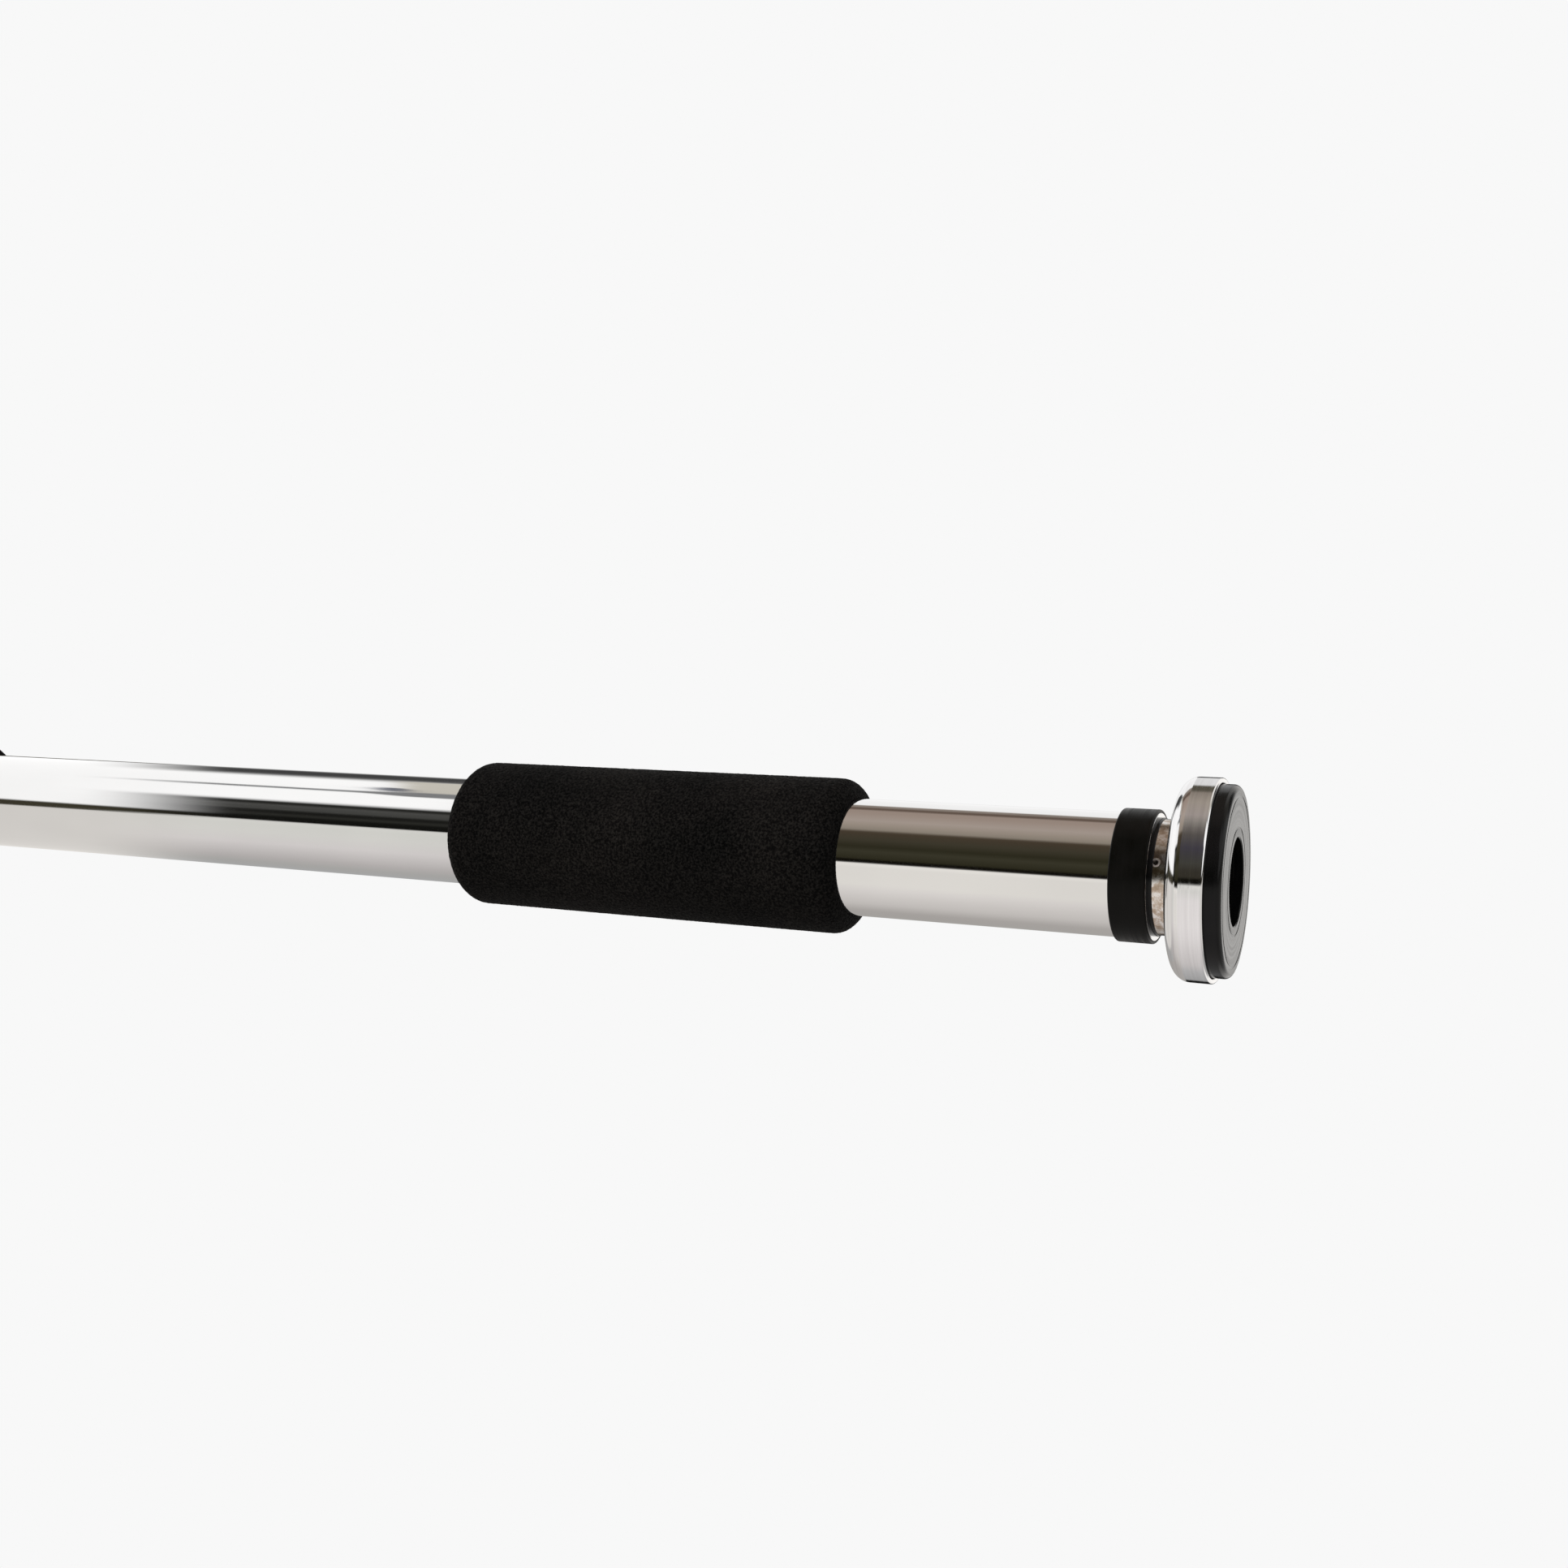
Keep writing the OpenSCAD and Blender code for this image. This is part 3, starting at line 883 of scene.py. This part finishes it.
def rubber_pad(name, side):
    """The rubber foot, with a stepped hole and a shallow turned line near each edge of its face."""
    start, back = depths("right_rubber_foot")
    edge, bevel = 1.6, 3.4
    mouth, step, hole, screw = 11.15, 2.5, 10.45, 3.3
    seat = back - 2.2
    face = [
        (0.25, mouth),
        (0, mouth + 0.25),
        (0, 13.1),
        (0.12, 13.25),
        (0.12, 13.6),
        (0, 13.75),
        (0, 20.9),
        (0.12, 21.05),
        (0.12, 21.4),
        (0, 21.55),
        (0, pad_r - edge),
    ]
    rear = [
        (back - bevel, pad_r),
        (back, pad_r - bevel),
        (back, screw),
        (seat, screw),
        (seat, hole),
        (step, hole),
        (step, mouth),
        (0.25, mouth),
    ]
    outline = [
        *[straight(a, b) for a, b in zip(face, face[1:])],
        bend((edge, pad_r - edge), edge, 180, 90, 10),
        straight((edge, pad_r), rear[0]),
        *[straight(a, b) for a, b in zip(rear, rear[1:])],
    ]
    piece = turned(f"{name}_rubber_pad", side, outline)
    return settle(
        dress(piece, "black_rubber"), f"{name}_foot", f"{name}_rubber_foot"
    )


def screw_rod(name, side):
    """The spindle with its thread, right-handed on the right and left-handed on the left."""
    low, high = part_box(f"{name}_spindle")
    mesh = bpy.data.meshes.new(f"{name}_screw_rod")
    piece = bpy.data.objects.new(mesh.name, mesh)
    bpy.context.scene.collection.objects.link(piece)
    grown(
        piece,
        thread,
        Start=(low.x, 0.0, 0.0),
        Length=high.x - low.x,
        Lead=4 * MM,
        Crest_radius=rod_r * MM,
        Core_radius=(rod_r - 2.25) * MM,
        Hand=float(side),
        Material=finishes["zinc_steel"],
    )
    return settle(piece, "bar", f"{name}_spindle")


main_tube()
for name, side in SIDES:
    foam_sleeve(name, side)
    end_band(name, side)
    bright_ferrule(name, side)
    neck_wiper(name, side)
    neck_tube(name, side)
    roll_pins(name, side)
    dished_cup(name, side)
    rubber_pad(name, side)
    screw_rod(name, side)

carried_over = {
    "spindle_plug": "zinc_steel",
    "plug_pin": "pin_steel",
    "glide_ring": "nylon",
    "glide_circlip": "pin_steel",
    "spindle_nut": "zinc_steel",
    "nut_pins": "pin_steel",
    "cup_spigot": "zinc_steel",
    "foot_washer": "black_steel",
    "foot_screw": "black_steel",
}
for name, _ in SIDES:
    for part, finish in carried_over.items():
        frame["nodes"][f"{name}_{part}"].material_slots[0].material = finishes[finish]

# ---------------------------------------------------------------- studio


def place_camera():
    """Looks at the right-hand end from in front and a little above, towards the bar's middle."""
    data = bpy.data.cameras.new("camera")
    data.lens, data.sensor_width = 37.27, 36.0
    data.clip_start, data.clip_end = 0.01, 50
    camera = bpy.data.objects.new("camera", data)
    bpy.context.scene.collection.objects.link(camera)
    camera.location = (half_length + 61.2 * MM, -408.8 * MM, 66.4 * MM)
    look = Vector((-0.4088, 0.9066, -0.1049))
    camera.rotation_euler = look.to_track_quat("-Z", "Y").to_euler()
    bpy.context.scene.camera = camera


# The studio round the bar, as shown tones by the angle about the bar's axis: 0 in front, 90 overhead,
# 180 behind, and below zero down to the floor.
MIDDLE_OF_STUDIO = (
    (-180, 214),
    (-174, 200),
    (-171, (148, 146, 143)),
    (-145, (156, 153, 150)),
    (-116, (164, 160, 157)),
    (-107, (173, 169, 166)),
    (-91, (190, 186, 183)),
    (-71, (201, 197, 194)),
    (-55, (211, 207, 204)),
    (-44, (217, 214, 209)),
    (-10, (217, 214, 209)),
    (-3, (227, 224, 219)),
    (-1, (14, 12, 8)),
    (4, (14, 12, 8)),
    (7, (43, 41, 29)),
    (21, (55, 53, 41)),
    (30, (43, 41, 29)),
    (44, (59, 55, 44)),
    (58, (66, 57, 46)),
    (60.5, (76, 67, 56)),
    (65, (134, 125, 114)),
    (75, (149, 138, 127)),
    (86, (160, 148, 139)),
    (105, (150, 135, 125)),
    (114, (147, 132, 122)),
    (117.5, (96, 82, 73)),
    (122.5, (96, 82, 73)),
    (126, (130, 120, 112)),
    (131, (134, 124, 116)),
    (134, 236),
    (168, 234),
    (180, 214),
)
FAR_END_OF_STUDIO = (
    (-180, 205),
    (-173, 198),
    (-171, 148),
    (-145, 155),
    (-116, (162, 161, 159)),
    (-95, (174, 170, 169)),
    (-71, (191, 187, 186)),
    (-51, (205, 201, 200)),
    (-25, (206, 205, 201)),
    (-6, (204, 204, 199)),
    (2, (208, 207, 203)),
    (4, (15, 15, 13)),
    (13, (20, 20, 18)),
    (18, (41, 41, 38)),
    (23, (25, 25, 23)),
    (26.5, (26, 26, 24)),
    (31, (62, 62, 60)),
    (40, (70, 70, 68)),
    (44, (36, 36, 34)),
    (47.5, (34, 34, 32)),
    (51, 190),
    (54, 246),
    (122, 246),
    (127, 205),
    (134, 110),
    (141, 62),
    (160, 60),
    (168, 120),
    (180, 205),
)
NEAR_END_OF_STUDIO = (
    (-180, 22),
    (-145, 22),
    (-140, (148, 148, 148)),
    (-114, (169, 168, 168)),
    (-100, (189, 185, 184)),
    (-78, (201, 197, 196)),
    (-60, (212, 208, 207)),
    (-45, (217, 213, 212)),
    (-15, (217, 213, 212)),
    (-4, (205, 204, 200)),
    (1.5, (222, 221, 216)),
    (3.5, (12, 11, 8)),
    (8.5, (14, 13, 9)),
    (11, (50, 47, 40)),
    (18, (52, 49, 43)),
    (26, (63, 62, 57)),
    (36, (62, 60, 62)),
    (43, (63, 60, 68)),
    (49, (71, 68, 71)),
    (59, (84, 80, 77)),
    (67, (104, 99, 95)),
    (75, (130, 125, 119)),
    (84, (153, 144, 139)),
    (104, (152, 143, 133)),
    (121, (132, 123, 114)),
    (126, (82, 78, 68)),
    (136, (78, 74, 64)),
    (140, 212),
    (166, 208),
    (172, 60),
    (180, 22),
)


def tones(stops):
    """Ramp stops for tones by angle."""
    made = []
    for angle, tone in stops:
        colour = linear(*tone) if isinstance(tone, tuple) else linear(tone, tone, tone)
        made.append(((angle + 180) / 360, colour))
    return made


def light_studio():
    """Soft studio light all round: a pale floor, a dark wall in front, a brown ceiling, white walls at the ends."""
    world = bpy.data.worlds.new("soft studio")
    bpy.context.scene.world = world
    world.use_nodes = True
    tree = world.node_tree
    background = tree.nodes["Background"]

    def add(kind, settings=(), **sockets):
        made = tree.nodes.new(kind)
        for key, value in dict(settings).items():
            setattr(made, key, value)
        for key, value in sockets.items():
            socket = made.inputs[int(key[1:]) if key[0] == "_" else key]
            if isinstance(value, bpy.types.NodeSocket):
                tree.links.new(value, socket)
            else:
                socket.default_value = value
        return made

    def share(value, start, end):
        """Nothing at start and all at end, with a soft change between."""
        ranged = add(
            "ShaderNodeMapRange", {"interpolation_type": "SMOOTHSTEP"}, Value=value, _1=start, _2=end
        )
        return ranged.outputs[0]

    def calc(operation, a, b=0.0):
        return add("ShaderNodeMath", {"operation": operation}, _0=a, _1=b).outputs[0]

    def mixed(factor, a, b):
        mix = add("ShaderNodeMix", {"data_type": "RGBA"}, _0=factor)
        for socket, value in ((mix.inputs[6], a), (mix.inputs[7], b)):
            if isinstance(value, bpy.types.NodeSocket):
                tree.links.new(value, socket)
            else:
                socket.default_value = value
        return mix.outputs[2]

    way = tree.nodes.new("ShaderNodeTexCoord").outputs["Generated"]
    split = add("ShaderNodeSeparateXYZ", Vector=way).outputs
    turn = calc("ARCTAN2", split["Z"], calc("MULTIPLY", split["Y"], -1.0))
    place = add(
        "ShaderNodeMapRange", Value=turn, _1=-math.pi, _2=math.pi, _3=0.0, _4=1.0
    ).outputs[0]

    def ramp(stops):
        made = add("ShaderNodeValToRGB", Fac=place)
        set_ramp(made.color_ramp, tones(stops))
        return made.outputs[0]

    degrees = calc("MULTIPLY", turn, 180 / math.pi)
    far = share(split["X"], -0.555, -0.575)
    far = calc("MAXIMUM", far, share(split["X"], 0.3, 0.42))
    near = share(split["X"], -0.2, -0.188)
    walls = mixed(near, ramp(MIDDLE_OF_STUDIO), ramp(NEAR_END_OF_STUDIO))
    card = calc("MULTIPLY", share(split["X"], -0.02, 0.06), share(split["Y"], 0.1, 0.5))
    walls = mixed(card, walls, linear(236, 234, 231))
    walls = mixed(far, walls, ramp(FAR_END_OF_STUDIO))

    def off(value, middle):
        return calc("ABSOLUTE", calc("SUBTRACT", value, middle))

    silver = calc("MULTIPLY", share(split["X"], -0.618, -0.598), share(off(degrees, 108), 28, 20))
    walls = mixed(calc("MULTIPLY", silver, far), walls, linear(190, 186, 176))
    half_beam = calc("ADD", calc("MULTIPLY", share(split["X"], -0.63, -0.6), 4.0), 2.5)
    beam = share(calc("SUBTRACT", off(degrees, 87), half_beam), 2.0, -2.0)
    walls = mixed(calc("MULTIPLY", beam, far), walls, linear(120, 121, 122))
    fitting = calc(
        "ADD",
        calc("POWER", calc("DIVIDE", off(split["X"], -0.611), 0.009), 2.0),
        calc("POWER", calc("DIVIDE", off(degrees, 99), 6.0), 2.0),
    )
    walls = mixed(share(fitting, 1.6, 0.3), walls, linear(62, 68, 86))
    end_on = share(calc("ABSOLUTE", split["X"]), 0.68, 0.74)
    end_wall = mixed(share(split["Z"], -0.02, 0.02), linear(206, 203, 199), linear(56, 53, 42))
    end_wall = mixed(share(split["Z"], 0.12, 0.18), end_wall, linear(246, 246, 246))
    walls = mixed(end_on, walls, end_wall)
    seen = tree.nodes.new("ShaderNodeLightPath").outputs["Is Camera Ray"]
    lit = add(
        "ShaderNodeVectorMath", {"operation": "SCALE"}, _0=walls, Scale=1 / CHROME_SHINE
    ).outputs[0]
    tree.links.new(mixed(seen, lit, linear(248, 248, 248)), background.inputs["Color"])


def hang_lamp():
    """A wide soft lamp overhead for the matt pieces, kept out of the chrome."""
    data = bpy.data.lights.new("overhead lamp", "SUN")
    data.energy, data.angle = 5.2, math.radians(60)
    lamp = bpy.data.objects.new("overhead lamp", data)
    lamp.rotation_euler = (math.radians(48), 0, 0)
    lamp.visible_glossy = False
    bpy.context.scene.collection.objects.link(lamp)


def lay_floor():
    """A plain pale floor well below the bar, which only the camera sees."""
    reach, drop = 30.0, -1.2
    floor = new_piece(
        "floor",
        [(-reach, -reach, drop), (reach, -reach, drop), (reach, reach, drop), (-reach, reach, drop)],
        [(0, 1, 2, 3)],
    )
    paint = Finish("floor pale", Base_Color=(0, 0, 0, 1), Specular_IOR_Level=0.0)
    pale = paint.blend(
        paint.grain(0.5), (0.3, linear(248, 248, 248)), (0.7, linear(248, 248, 248))
    )
    paint.tree.links.new(pale, paint.shader.inputs["Emission Color"])
    paint.shader.inputs["Emission Strength"].default_value = 1.0
    floor.data.materials.append(paint.material)
    floor.visible_diffuse = floor.visible_glossy = floor.visible_shadow = False


place_camera()
light_studio()
hang_lamp()
lay_floor()
bpy.context.scene.view_settings.view_transform = "Standard"
